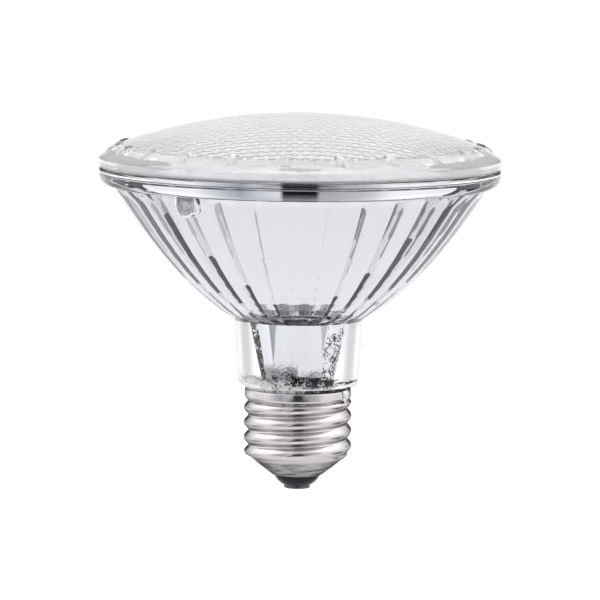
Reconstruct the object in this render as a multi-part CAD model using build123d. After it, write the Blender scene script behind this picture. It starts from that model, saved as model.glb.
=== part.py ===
from build123d import *
import math
import os

# Reflector lamp with a short glass neck and a 27 mm screw cap, in millimetres.
# The axis is Z, the contact's flat face is at Z 0 and the lens looks up.
# Directions round the axis are degrees from the front, -Y, positive towards +X.

# Centre contact and the insulator round it
contact_radius = 3.2
contact_thickness = 0.8
contact_chamfer = 0.3
eyelet_radius = 1.6
eyelet_bore = 0.8
eyelet_head = 0.4
contact_solder_height = 1.2
contact_solder_recess = 0.1
insulator_height = 2.5
insulator_shoulder = 0.3
insulator_plug = 2.4

# Screw shell with its knuckle thread
shell_nose_radius = 6.0
shell_cone_height = 5.0
shell_wall = 0.4
thread_crest_radius = 13.05
thread_depth = 1.05
thread_pitch = 3.62
thread_base_width = 2.9
thread_sides = 4
thread_length = 13.1
thread_run_out = 1.0
thread_lead_in = 1.4
band_setback = 0.15
band_height = 3.3

# Glass spigot, neck and bore
cap_gap = 0.5
spigot_clearance = 0.6
spigot_length = 8.0
neck_overhang = 1.6
neck_foot_round = 1.5
neck_flare = 1.05
neck_height = 16.4
bore_sides = 8
bore_foot_radius = 5.6
bore_top_radius = 8.2

# Bowl, flutes and facets
bowl_foot_ledge = 0.5
bowl_foot_step = 0.4
bowl_top_radius = 45.5
bowl_height = 31.8
bowl_wall = 2.6
flute_count = 32
flute_direction = 8.55
flute_edge_tilt = 4.5
facet_rows = 13
facet_row_ratio = 0.90
facet_top_drop = 2.9

# Flange and the lug under it
flange_overhang = 3.0
flange_under_round = 2.8
flange_height = 4.5
flange_chamfer = 0.5
lug_direction = -35.8
lug_width = 5.8
lug_drop = 4.8
lug_proud = 0.2

# Front lens and the bead that fixes it
seal_thickness = 0.4
seal_recess = 0.1
lens_setback = 0.05
lens_thickness = 3.2
lens_wall_height = 2.1
lens_chamfer_height = 2.5
lens_chamfer_width = 3.85
lens_dome_rise = 8.1
lens_rim_width = 4.55
nub_count = 22
nub_direction = -4.3
nub_length = 4.6
nub_width = 2.4
nub_height = 0.6
nub_slope = 24.0

# Halogen capsule on the axis
pinch_width = 8.4
pinch_thickness = 3.2
pinch_height = 10.5
pinch_rise = 4.3
tube_radius = 4.75
tube_wall = 1.0
tube_end_radius = 5.5
tube_length = 23.0
tip_radius = 1.3
tip_height = 1.6
cement_below_pinch = 1.0
cement_height = 6.5
filament_radius = 0.75
filament_length = 12.0
filament_clearance = 3.2
leg_radius = 0.3
leg_insert = 1.0
foil_width = 2.2
foil_thickness = 0.12
foil_length = 6.0
foil_inset = 2.2
pin_radius = 0.4
pin_spacing = 4.8
pin_length = 8.0

# Leads and fuse in the cap
lead_radius = 0.2
fuse_radius = 1.3
fuse_length = 9.0
fuse_lead_length = 4.0
fuse_lead_straight = 2.0
side_lead_direction = 62.5
side_lead_dip = 2.0
side_lead_reach = 0.3
solder_radius = 2.2
solder_proud = 0.7
solder_drop = 1.2

# Heights of the joints between pieces, from the contact up
z_insulator = contact_thickness
z_shell = z_insulator + insulator_height
z_thread = z_shell + shell_cone_height
z_band = z_thread + thread_length
z_shell_top = z_band + band_height
z_neck = z_shell_top + cap_gap
z_spigot = z_neck - spigot_length
z_bowl = z_neck + neck_height
z_flange = z_bowl + bowl_height
z_flange_top = z_flange + flange_height
z_lens = z_flange_top + seal_thickness
z_chamfer = z_lens + lens_wall_height
z_dome = z_chamfer + lens_chamfer_height
z_apex = z_dome + lens_dome_rise
thread_start = z_thread - thread_lead_in
pinch_bottom = z_neck + pinch_rise

# Radii that follow from one another, from the cap up
thread_root_radius = thread_crest_radius - thread_depth
shell_bore = thread_root_radius - shell_wall
band_radius = thread_crest_radius - band_setback
band_bore = band_radius - shell_wall
z_band_bore = z_band + shell_wall
spigot_radius = shell_bore - spigot_clearance
neck_foot_radius = thread_crest_radius + neck_overhang
neck_top_radius = neck_foot_radius + neck_flare
bowl_foot_radius = neck_top_radius + bowl_foot_ledge
flange_radius = bowl_top_radius + flange_overhang
lug_face_radius = bowl_top_radius + lug_proud
lens_radius = flange_radius - lens_setback
lens_seat_radius = lens_radius - lens_rim_width

UPRIGHT = (Align.CENTER, Align.CENTER, Align.MIN)


def at(radius, height):
    """A point of a turned outline."""
    return (radius, height)


def polar(radius, direction, height):
    """A point at a direction round the axis."""
    turn = math.radians(direction - 90)
    return (radius * math.cos(turn), radius * math.sin(turn), height)


def turned(*edges):
    """The solid that a closed outline sweeps round the axis."""
    return revolve(Plane.XZ * make_face(Curve() + list(edges)), Axis.Z)


def rod(radius, *points):
    """A round wire along straight runs."""
    path = Polyline(*points)
    section = Plane(origin=path @ 0, z_dir=path % 0) * Circle(radius)
    return sweep(section, path=path, transition=Transition.RIGHT)


def ball(radius, top):
    """A ball that reaches up to a height, with its poles at the sides."""
    return Pos(0, 0, top - radius) * Rot(90, 0, 0) * Sphere(radius)


def round_bar(radius, bottom, top, end_radius):
    """An upright bar with a ball-shaped upper end."""
    seam = top - end_radius
    bar = Pos(0, 0, bottom) * Cylinder(radius, seam - bottom, align=UPRIGHT)
    end = Pos(0, 0, seam) * Cylinder(radius, end_radius, align=UPRIGHT)
    return bar + (end & ball(end_radius, top))


def block(width, depth, height, x, z):
    """A block that stands at height z and is centred on Y 0."""
    return Pos(x, 0, z) * Box(width, depth, height, align=UPRIGHT)


def make_contact():
    """Flat disc with a hollow shank that goes up through the insulator."""
    shank_top = z_shell + insulator_plug + eyelet_head
    return turned(
        Polyline(
            at(contact_radius - contact_chamfer, 0),
            at(eyelet_bore, 0),
            at(eyelet_bore, shank_top),
            at(eyelet_radius, shank_top),
            at(eyelet_radius, contact_thickness),
            at(contact_radius, contact_thickness),
            at(contact_radius, contact_chamfer),
            at(contact_radius - contact_chamfer, 0),
        )
    )


def make_contact_solder():
    """Solder that closes the lower end of the contact's shank."""
    height = contact_solder_height - contact_solder_recess
    plug = Cylinder(eyelet_bore, height, align=UPRIGHT)
    return Pos(0, 0, contact_solder_recess) * plug


def shell_cone_radius(height):
    """Outer radius of the shell's cone at a height."""
    rise = (height - z_shell) / shell_cone_height
    return shell_nose_radius + rise * (thread_root_radius - shell_nose_radius)


def make_insulator():
    """Black glass that fills the shell's nose and tapers down to the contact."""
    top = z_shell + insulator_plug
    return turned(
        Polyline(
            at(eyelet_radius, z_insulator),
            at(contact_radius + insulator_shoulder, z_insulator),
            at(shell_nose_radius, z_shell),
            at(shell_nose_radius - shell_wall, z_shell),
            at(shell_cone_radius(top) - shell_wall, top),
            at(eyelet_radius, top),
            at(eyelet_radius, z_insulator),
        )
    )


def make_ridge():
    """Knuckle ridge on a right-hand helix, with its foot sunk into the shell's root."""
    half = thread_base_width / 2
    knuckle = (thread_depth**2 + half**2) / (2 * thread_depth)
    middle = thread_crest_radius - knuckle
    foot = math.acos((thread_root_radius - shell_wall / 2 - middle) / knuckle)
    rise = z_band + knuckle - thread_start
    edges = []
    for index in range(thread_sides + 1):
        lean = foot * (2 * index / thread_sides - 1)
        centre = (0, 0, thread_start + knuckle * math.sin(lean))
        edges.append(Helix(thread_pitch, rise, middle + knuckle * math.cos(lean), center=centre))
    sides = [Face.make_surface_from_curves(low, high) for low, high in zip(edges, edges[1:] + edges[:1])]
    ends = [Face(Wire.make_polygon([edge @ place for edge in edges])) for place in (0, 1)]
    return Solid(Shell(sides + ends))


def make_shell():
    """Thin rolled shell: cone, knuckle thread that runs into the band, and plain band."""
    clear = thread_crest_radius + shell_wall
    core = Pos(0, 0, z_shell) * Cylinder(thread_root_radius, z_shell_top - z_shell, align=UPRIGHT)
    limit = turned(
        Polyline(
            at(0, z_shell),
            at(shell_nose_radius, z_shell),
            at(thread_root_radius, z_thread),
            at(clear, z_thread + thread_run_out),
            at(clear, z_band),
            at(0, z_band),
            at(0, z_shell),
        )
    )
    band = Pos(0, 0, z_band) * Cylinder(band_radius, band_height, align=UPRIGHT)
    room = turned(
        Polyline(
            at(0, z_shell),
            at(shell_nose_radius - shell_wall, z_shell),
            at(shell_bore, z_thread),
            at(shell_bore, z_band_bore),
            at(band_bore, z_band_bore),
            at(band_bore, z_shell_top),
            at(0, z_shell_top),
            at(0, z_shell),
        )
    )
    return ((core + make_ridge()) & limit) + band - room


def bowl_height_at(radius):
    """Height of the bowl's outer parabola above its foot."""
    span = bowl_top_radius**2 - bowl_foot_radius**2
    return bowl_height * (radius**2 - bowl_foot_radius**2) / span


def bowl_slope_at(radius):
    """Steepness of the bowl's outer parabola, as an angle."""
    span = bowl_top_radius**2 - bowl_foot_radius**2
    return math.atan(2 * radius * bowl_height / span)


def mirror_point(radius):
    """The point of the silvered face that lies one wall inside the bowl's outer face."""
    slope = bowl_slope_at(radius)
    inner = radius - bowl_wall * math.sin(slope)
    return inner, z_bowl + bowl_height_at(radius) + bowl_wall * math.cos(slope)


def facet_ring(radius, height):
    """One level of the faceted cavity: creases at full radius, with a ridge between each two."""
    step = 360 / flute_count
    half = math.radians(step / 2)
    ridge = radius * (math.cos(half) - math.sin(half) * math.tan(math.radians(flute_edge_tilt)))
    points = []
    for index in range(flute_count):
        direction = flute_direction + index * step
        points.append(polar(radius, direction, height))
        points.append(polar(ridge, direction + step / 2, height))
    return make_face(Polyline(*points, close=True))


def make_cavity():
    """Room inside the glass: faceted mirror, upright collar to the mouth and tapered bore."""
    mouth_radius, collar_bottom = mirror_point(bowl_top_radius)
    levels = [(mouth_radius, collar_bottom)]
    outer = bowl_top_radius - facet_top_drop
    for _ in range(facet_rows + 1):
        levels.append(mirror_point(outer))
        outer *= facet_row_ratio
    levels.reverse()
    facets = loft([facet_ring(*level) for level in levels], ruled=True)
    collar = Pos(0, 0, collar_bottom) * Cylinder(mouth_radius, z_flange_top - collar_bottom, align=UPRIGHT)
    throat = levels[0][1]
    bore = loft(
        [
            Pos(0, 0, height) * Rot(0, 0, -90) * RegularPolygon(radius, bore_sides)
            for radius, height in (
                (bore_foot_radius, z_spigot),
                (bore_foot_radius, z_neck),
                (bore_top_radius, throat),
            )
        ],
        ruled=True,
    )
    return facets + collar + bore


def make_lug():
    """Small rounded tab that joins the bowl to the flange's underside."""
    half = lug_width / 2
    top = z_flange + flange_under_round / 2
    bottom = z_flange - lug_drop
    outline = make_face(
        Curve()
        + [
            Polyline((-half, bottom + half), (-half, top), (half, top), (half, bottom + half)),
            ThreePointArc((half, bottom + half), (0, bottom), (-half, bottom + half)),
        ]
    )
    back = mirror_point(bowl_top_radius)[0] + bowl_wall / 2
    tab = extrude(Plane.XZ * outline, lug_face_radius - back)
    return Rot(0, 0, lug_direction) * Pos(0, -back, 0) * tab


def make_reflector():
    """Pressed glass body: spigot, neck, bowl and flange, hollow inside."""
    foot = neck_foot_round
    middle_radius = (bowl_foot_radius + bowl_top_radius) / 2
    middle_height = z_bowl + math.tan(bowl_slope_at(bowl_foot_radius)) * (middle_radius - bowl_foot_radius)
    under = flange_under_round
    outer = turned(
        Polyline(
            at(0, z_spigot),
            at(spigot_radius, z_spigot),
            at(spigot_radius, z_neck),
            at(neck_foot_radius - foot, z_neck),
        ),
        RadiusArc(at(neck_foot_radius - foot, z_neck), at(neck_foot_radius, z_neck + foot), -foot),
        Polyline(
            at(neck_foot_radius, z_neck + foot),
            at(neck_top_radius, z_bowl - bowl_foot_step),
            at(bowl_foot_radius, z_bowl),
        ),
        Bezier(
            at(bowl_foot_radius, z_bowl),
            at(middle_radius, middle_height),
            at(bowl_top_radius, z_flange),
        ),
        Line(at(bowl_top_radius, z_flange), at(flange_radius - under, z_flange)),
        RadiusArc(at(flange_radius - under, z_flange), at(flange_radius, z_flange + under), -under),
        Polyline(
            at(flange_radius, z_flange + under),
            at(flange_radius, z_flange_top - flange_chamfer),
            at(flange_radius - flange_chamfer, z_flange_top),
            at(0, z_flange_top),
            at(0, z_spigot),
        ),
    )
    return outer + make_lug() - make_cavity()


def make_basing_cement(side_lead):
    """Dark cement between spigot and shell, squeezed out a little under the neck's foot."""
    ring = turned(
        Polyline(
            at(spigot_radius, z_spigot),
            at(shell_bore, z_spigot),
            at(shell_bore, z_band_bore),
            at(band_bore, z_band_bore),
            at(band_bore, z_shell_top),
            at(band_radius, z_shell_top),
            at(band_radius, z_neck),
            at(spigot_radius, z_neck),
            at(spigot_radius, z_spigot),
        )
    )
    return ring - side_lead


def make_lens_seal():
    """Thin bead in the joint between the flange and the lens, a little back from their edges."""
    edge = min(flange_radius - flange_chamfer, lens_radius) - seal_recess
    return turned(
        Polyline(
            at(lens_seat_radius, z_flange_top),
            at(edge, z_flange_top),
            at(edge, z_lens),
            at(lens_seat_radius, z_lens),
            at(lens_seat_radius, z_flange_top),
        )
    )


def make_nub():
    """One moulded nub that lies down the shoulder between dome and chamfer."""
    round_radius = (nub_width**2 / 4 + nub_height**2) / (2 * nub_height)
    shoulder = lens_radius - lens_chamfer_width
    bar = Rot(0, 90, 0) * Cylinder(round_radius, nub_length)
    lean = Rot(0, nub_slope, 0) * Pos(0, 0, nub_height - round_radius) * bar
    return Pos(shoulder, 0, z_dome) * lean


def make_lens():
    """Pressed glass dome with an upright rim, a chamfer and a ring of nubs."""
    shoulder = lens_radius - lens_chamfer_width
    dome_radius = (shoulder**2 + lens_dome_rise**2) / (2 * lens_dome_rise)
    blank = turned(
        Polyline(
            at(0, z_lens),
            at(lens_radius, z_lens),
            at(lens_radius, z_chamfer),
            at(shoulder - lens_chamfer_width, z_dome + lens_chamfer_height),
            at(shoulder - lens_chamfer_width, z_apex),
            at(0, z_apex),
            at(0, z_lens),
        )
    )
    room = Pos(0, 0, z_lens) * Cylinder(lens_seat_radius, z_apex - z_lens, align=UPRIGHT)
    room &= ball(dome_radius - lens_thickness, z_apex - lens_thickness)
    nub = make_nub()
    nubs = [Rot(0, 0, nub_direction - 90 + 360 * i / nub_count) * nub for i in range(nub_count)]
    return (blank & ball(dome_radius, z_apex)) + nubs - room


z_pinch_top = pinch_bottom + pinch_height
z_tube_top = z_pinch_top + tube_length
z_foil = pinch_bottom + foil_inset
z_foil_top = z_foil + foil_length
z_filament = z_pinch_top + filament_clearance
z_filament_top = z_filament + filament_length
z_cement = pinch_bottom - cement_below_pinch
z_pin = z_foil - pin_length
pin_x = pin_spacing / 2


def make_filament():
    """Tungsten coil, as the hollow rod that its close turns fill, on the ends of its legs."""
    coil = Cylinder(filament_radius, filament_length, align=UPRIGHT)
    core = Cylinder(leg_radius, filament_length, align=UPRIGHT)
    return Pos(0, 0, z_filament) * (coil - core)


def make_leg_a():
    """Short leg: from its foil to the coil's lower end."""
    knee = (z_pinch_top + z_filament) / 2
    end = z_filament + leg_insert
    return rod(leg_radius, (-pin_x, 0, z_foil_top), (-pin_x, 0, knee), (0, 0, knee), (0, 0, end))


def make_leg_b():
    """Long leg: from its foil past the coil and over to its upper end."""
    top = z_filament_top + filament_clearance / 2
    end = z_filament_top - leg_insert
    return rod(leg_radius, (pin_x, 0, z_foil_top), (pin_x, 0, top), (0, 0, top), (0, 0, end))


def make_foil(x):
    """Flat foil sealed in the pinch."""
    return block(foil_width, foil_thickness, foil_length, x, z_foil)


def make_pin(x):
    """Outer pin of the capsule."""
    return rod(pin_radius, (x, 0, z_pin), (x, 0, z_foil))


def make_envelope(sealed_in):
    """Quartz tube with a round end, a drawn-off tip and a flat pinch round what it seals."""
    foot = z_pinch_top - tube_wall
    tube = round_bar(tube_radius, foot, z_tube_top, tube_end_radius)
    room = round_bar(tube_radius - tube_wall, z_pinch_top, z_tube_top - tube_wall, tube_end_radius - tube_wall)
    tip = Cone(tip_radius, tip_radius / 2, tip_height + tube_wall / 2, align=UPRIGHT)
    tip = Pos(0, 0, z_tube_top - tube_wall / 2) * tip
    pinch = block(pinch_width, pinch_thickness, pinch_height, 0, pinch_bottom)
    return tube + tip + pinch - room - sealed_in


def bore_radius_at(height, throat):
    """Corner radius of the tapered bore at a height above the neck's foot."""
    rise = (height - z_neck) / (throat - z_neck)
    return bore_foot_radius + rise * (bore_top_radius - bore_foot_radius)


def make_burner_cement(pins):
    """Ceramic cement that fills the bore round the pinch."""
    throat = mirror_point((bowl_top_radius - facet_top_drop) * facet_row_ratio**facet_rows)[1]
    plug = loft(
        [
            Pos(0, 0, height) * Rot(0, 0, -90) * RegularPolygon(bore_radius_at(height, throat), bore_sides)
            for height in (z_cement, z_cement + cement_height)
        ],
        ruled=True,
    )
    pinch = block(pinch_width, pinch_thickness, pinch_height, 0, pinch_bottom)
    return plug - pinch - pins


z_fuse_top = z_pin - fuse_lead_length
z_fuse = z_fuse_top - fuse_length


def make_side_lead():
    """Wire from one pin, under the spigot and up outside it to the shell's edge."""
    gap_radius = (spigot_radius + shell_bore) / 2
    dip = z_spigot - side_lead_dip
    exit_height = z_shell_top + lead_radius
    return rod(
        lead_radius,
        (-pin_x, 0, z_pin),
        (-pin_x, 0, dip),
        polar(gap_radius, side_lead_direction, dip),
        polar(gap_radius, side_lead_direction, exit_height),
        polar(band_radius + side_lead_reach, side_lead_direction, exit_height),
    )


def make_centre_lead():
    """Wire from the fuse to the solder in the contact."""
    return rod(
        lead_radius,
        (pin_x, 0, z_fuse),
        (pin_x, 0, z_fuse - fuse_lead_straight),
        (0, 0, z_fuse - fuse_lead_straight - pin_x),
        (0, 0, contact_solder_height),
    )


def make_fuse():
    """Small glass fuse in the centre lead."""
    body = Cylinder(fuse_radius, fuse_length, align=UPRIGHT)
    return Pos(pin_x, 0, z_fuse) * chamfer(body.edges().filter_by(GeomType.CIRCLE), fuse_radius / 2)


def make_side_solder(side_lead):
    """Flat drop of solder on the shell's band, over the end of the side lead."""
    middle = polar(band_radius + solder_proud - solder_radius, side_lead_direction, z_shell_top - solder_drop)
    ring = turned(
        Polyline(
            at(band_radius, z_band),
            at(band_radius + solder_radius, z_band),
            at(band_radius + solder_radius, z_neck),
            at(band_radius, z_neck),
            at(band_radius, z_band),
        )
    )
    return (Pos(*middle) * Sphere(solder_radius) & ring) - side_lead


def make_parts():
    """Every piece by name."""
    foils = {"a": make_foil(-pin_x), "b": make_foil(pin_x)}
    pins = {"a": make_pin(-pin_x), "b": make_pin(pin_x)}
    legs = {"a": make_leg_a(), "b": make_leg_b()}
    side_lead = make_side_lead()
    sealed_in = [*foils.values(), *pins.values(), *legs.values()]
    parts = {
        "front_lens": make_lens(),
        "lens_seal": make_lens_seal(),
        "reflector": make_reflector(),
        "basing_cement": make_basing_cement(side_lead),
        "screw_shell": make_shell(),
        "side_solder": make_side_solder(side_lead),
        "shell_insulator": make_insulator(),
        "centre_contact": make_contact(),
        "centre_solder": make_contact_solder(),
        "burner_envelope": make_envelope(sealed_in),
        "burner_cement": make_burner_cement(list(pins.values())),
        "filament": make_filament(),
        "side_lead": side_lead,
        "fuse_lead": rod(lead_radius, (pin_x, 0, z_fuse_top), (pin_x, 0, z_pin)),
        "lead_fuse": make_fuse(),
        "centre_lead": make_centre_lead(),
    }
    for side in ("a", "b"):
        parts[f"seal_foil_{side}"] = foils[side]
        parts[f"burner_pin_{side}"] = pins[side]
        parts[f"filament_leg_{side}"] = legs[side]
    return parts


os.makedirs("parts", exist_ok=True)
for name, shape in make_parts().items():
    export_step(shape, f"parts/{name}.step")
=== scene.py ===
import math

import bpy
import numpy as np
from mathutils import Matrix, Vector
from mathutils.geometry import delaunay_2d_cdt


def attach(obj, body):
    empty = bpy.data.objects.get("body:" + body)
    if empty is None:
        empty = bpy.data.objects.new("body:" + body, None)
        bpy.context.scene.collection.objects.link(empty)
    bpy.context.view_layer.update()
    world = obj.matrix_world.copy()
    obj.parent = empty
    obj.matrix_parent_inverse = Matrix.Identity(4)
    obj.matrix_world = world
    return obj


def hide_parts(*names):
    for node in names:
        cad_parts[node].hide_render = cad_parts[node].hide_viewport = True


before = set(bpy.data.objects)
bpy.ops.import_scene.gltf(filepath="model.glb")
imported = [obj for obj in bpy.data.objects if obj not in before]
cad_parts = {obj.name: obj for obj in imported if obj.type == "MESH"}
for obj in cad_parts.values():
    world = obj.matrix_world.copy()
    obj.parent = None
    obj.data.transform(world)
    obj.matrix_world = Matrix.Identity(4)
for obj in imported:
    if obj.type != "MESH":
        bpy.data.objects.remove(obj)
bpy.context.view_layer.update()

bl_info = {
    "name": "Par spotlight bulb",
    "version": (1, 0, 0),
    "blender": (4, 5, 0),
    "location": "3D View > Sidebar > Lamp",
    "description": "Builds the looks of a reflector lamp round its packed solids",
    "category": "Object",
}

# Worn patches of the film in the neck: direction and half width in degrees, lower and upper height
# in metres over the neck's foot, strength
WEAR_PATCHES = (
    (0.0, 180.0, -0.004, 0.0050, 0.46),
    (22.0, 34.0, -0.002, 0.0075, 0.72),
    (-30.0, 36.0, 0.001, 0.0085, 0.70),
    (66.0, 28.0, 0.012, 0.045, 0.47),
    (-85.0, 14.0, 0.012, 0.048, 0.62),
)
# Mesh steps of the lens's outline along its seat, rounded foot, wall, upper edge and slope
SEAT_STEPS, FOOT_STEPS, WALL_STEPS, EDGE_STEPS, SLOPE_STEPS = 3, 4, 3, 2, 16
# Rings of the lug's face from its root inwards: depth in metres, and size as a share of its outline
LUG_RINGS = ((-0.0028, 1.0), (-0.0005, 1.0), (-0.0001, 0.96), (0.0, 0.86), (-0.0003, 0.72), (-0.0007, 0.5))


# Helpers that declare sizes and colours


def length(name, millimetres, description):
    """A length that is stated in millimetres and kept in metres."""
    return bpy.props.FloatProperty(
        name=name, description=description, default=millimetres / 1000, unit="LENGTH", precision=6
    )


def degrees(name, value, description):
    """An angle that is stated in degrees and kept in radians."""
    return bpy.props.FloatProperty(
        name=name, description=description, default=math.radians(value), subtype="ANGLE", unit="ROTATION"
    )


def number(name, value, description):
    """A plain number."""
    return bpy.props.FloatProperty(name=name, description=description, default=value)


def count(name, value, description):
    """A whole number."""
    return bpy.props.IntProperty(name=name, description=description, default=value, min=1)


def colour(name, value, description):
    """A linear colour."""
    return bpy.props.FloatVectorProperty(
        name=name, description=description, default=value, subtype="COLOR", size=3, min=0.0, max=1.0
    )


class LensSizes(bpy.types.PropertyGroup):
    """Sizes of the front lens."""

    bottom: length("Bottom", 78.3, "Height of the rim's lower face")
    radius: length("Radius", 48.45, "Outer radius of the rim")
    wall_height: length("Wall height", 2.1, "Height of the upright rim")
    chamfer_height: length("Chamfer height", 2.5, "Height of the sloped shoulder")
    chamfer_width: length("Chamfer width", 3.85, "Width of the sloped shoulder")
    dome_rise: length("Dome rise", 8.08, "Rise of the dome over its foot")
    thickness: length("Thickness", 3.2, "Glass thickness on the axis")
    seat_radius: length("Seat radius", 43.9, "Inner radius of the rim")
    edge_round: length("Edge round", 0.6, "Rounding of the rim's upper edge")
    foot_round: length("Foot round", 0.25, "Rounding of the rim's lower edge")
    nub_count: count("Nubs", 22, "Moulded nubs round the shoulder")
    nub_direction: degrees("Nub direction", -4.3, "Direction of the first nub from the front")
    nub_length: length("Nub length", 4.6, "Length of a nub down the slope")
    nub_width: length("Nub width", 2.4, "Width of a nub")
    nub_height: length("Nub height", 0.6, "Height of a nub over the glass")
    stipple_pitch: length("Stipple pitch", 2.55, "Distance between lenslets")
    stipple_depth: length("Stipple depth", 0.55, "Height of a lenslet")
    stipple_radius: length("Stipple radius", 41.5, "Radius of the stippled field")
    stipple_steps: count("Stipple steps", 6, "Mesh steps in one lenslet")
    haze: number("Haze", 0.12, "Share of the light that the glass between the lenslets scatters")
    crown_haze: number("Crown haze", 0.45, "Share of the light that the crowns of the lenslets scatter")
    rim_haze: number("Rim haze", 0.37, "Share of the light that the rim scatters")


class ReflectorSizes(bpy.types.PropertyGroup):
    """Sizes of the silvered glass body."""

    spigot_bottom: length("Spigot bottom", 17.2, "Height of the spigot's lower end")
    spigot_radius: length("Spigot radius", 11.0, "Radius of the spigot in the cap")
    neck_bottom: length("Neck bottom", 25.2, "Height of the neck's foot")
    neck_foot_radius: length("Neck foot radius", 14.65, "Neck radius at its foot")
    neck_foot_round: length("Neck foot round", 1.5, "Rounding of the neck's foot")
    neck_top_radius: length("Neck top radius", 15.7, "Neck radius under the bowl")
    bowl_foot_step: length("Bowl foot step", 0.4, "Height of the step under the bowl")
    bowl_bottom: length("Bowl bottom", 41.6, "Height of the bowl's foot")
    bowl_foot_radius: length("Bowl foot radius", 16.2, "Radius of the bowl's foot")
    bowl_top_radius: length("Bowl top radius", 45.5, "Radius of the bowl under the flange")
    bowl_height: length("Bowl height", 31.8, "Height of the bowl")
    bowl_wall: length("Bowl wall", 2.6, "Glass thickness of the bowl")
    flange_radius: length("Flange radius", 48.48, "Outer radius of the flange")
    flange_round: length("Flange round", 2.8, "Rounding under the flange")
    flange_height: length("Flange height", 4.5, "Height of the flange")
    flange_edge: length("Flange edge", 0.7, "Rounding of the flange's upper edge")
    mouth_radius: length("Mouth radius", 43.3, "Inner radius of the upright collar at the mouth")
    mouth_flare: length("Mouth flare", 0.18, "How far the collar opens out at its upper edge")
    mouth_flare_height: length("Mouth flare height", 0.75, "Height of the part that opens out")
    bead_drop: length("Bead drop", 1.75, "How far the collar's bead lies under its upper edge")
    bead_height: length("Bead height", 0.6, "Height of the bead")
    bead_proud: length("Bead proud", 0.17, "How far the bead stands out")
    flute_count: count("Flutes", 32, "Columns of pillow facets")
    flute_direction: degrees("Flute direction", 8.55, "Direction of one crease from the front")
    flute_tilt: degrees("Flute tilt", 12.4, "Tilt of a pillow at its crease")
    film_satin: number("Film satin", 0.12, "Share of light that the film scatters at the bowl's top")
    film_satin_foot: number("Film satin foot", 0.02, "Share that the film scatters at the bowl's foot")
    film_satin_inside: number("Film satin inside", 0.45, "Share that the film scatters on its open side")
    row_tilt: degrees("Row tilt", 1.2, "Tilt of a pillow at its upper and lower edge")
    row_count: count("Rows", 13, "Rows of pillow facets")
    row_ratio: number("Row ratio", 0.90, "Radius of each row's edge over the next")
    row_top_radius: length("Row top radius", 42.6, "Outer radius at the first row's upper edge")
    facet_steps: count("Facet steps", 8, "Mesh steps along each side of a facet")
    bore_foot_radius: length("Bore foot radius", 5.6, "Corner radius of the bore at the neck's foot")
    bore_top_radius: length("Bore top radius", 8.2, "Corner radius of the bore at the throat")
    bore_sides: count("Bore sides", 8, "Flat sides of the bore")
    film_gap: length("Film gap", 0.04, "Room between the film in the bore and the cement")
    lug_direction: degrees("Lug direction", -35.8, "Direction of the lug from the front")
    lug_width: length("Lug width", 5.8, "Width of the lug")
    lug_drop: length("Lug drop", 4.8, "How far the lug hangs under the flange")
    lug_radius: length("Lug radius", 45.7, "Radius of the lug's face")


class CapSizes(bpy.types.PropertyGroup):
    """Sizes of the screw cap."""

    contact_radius: length("Contact radius", 3.2, "Radius of the end contact")
    contact_thickness: length("Contact thickness", 0.8, "Thickness of the end contact")
    eyelet_radius: length("Eyelet radius", 1.6, "Radius of the hole in the contact and the insulator")
    insulator_top: length("Insulator top", 3.3, "Height where the insulator meets the shell")
    nose_radius: length("Nose radius", 6.0, "Radius of the shell's lower edge")
    thread_bottom: length("Thread bottom", 8.3, "Height where the cone meets the thread")
    wall: length("Wall", 0.4, "Thickness of the shell's sheet")
    root_radius: length("Root radius", 12.0, "Radius at the thread's root")
    crest_radius: length("Crest radius", 13.05, "Radius at the thread's crest")
    pitch: length("Pitch", 3.62, "Pitch of the thread")
    lead_in: length("Lead-in", 1.4, "How far under the thread its ridge starts to rise")
    lead_in_length: length("Lead-in length", 2.2, "Height over which the ridge rises")
    crest_height: length("Crest height", 3.3, "Height of a crest on the +X side, less whole turns")
    band_bottom: length("Band bottom", 21.5, "Height where the thread meets the band")
    band_lead: length("Band lead", 0.5, "How far under the band the shell starts to widen")
    band_lead_length: length("Band lead length", 1.6, "Height over which the shell widens to the band")
    band_radius: length("Band radius", 12.9, "Radius of the plain band")
    top: length("Top", 24.7, "Height of the shell's upper edge")
    lip: length("Lip", 0.9, "Rounding of the rolled upper edge")
    solder_direction: degrees("Solder direction", 62.5, "Direction of the solder drop from the front")
    solder_height: length("Solder height", 23.3, "Height of the solder drop")
    solder_size: length("Solder size", 1.55, "Half width of the solder drop")
    solder_proud: length("Solder proud", 0.65, "How far the drop stands off the band")


class BurnerSizes(bpy.types.PropertyGroup):
    """Sizes of the coil in the halogen capsule."""

    coil_bottom: length("Coil bottom", 43.2, "Height of the coil's lower end")
    coil_length: length("Coil length", 12.0, "Length of the coil")
    coil_radius: length("Coil radius", 0.75, "Outer radius of the coil")
    coil_wire: length("Coil wire", 0.11, "Radius of the coil's wire")
    coil_turns: count("Coil turns", 30, "Turns of the coil")


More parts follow.
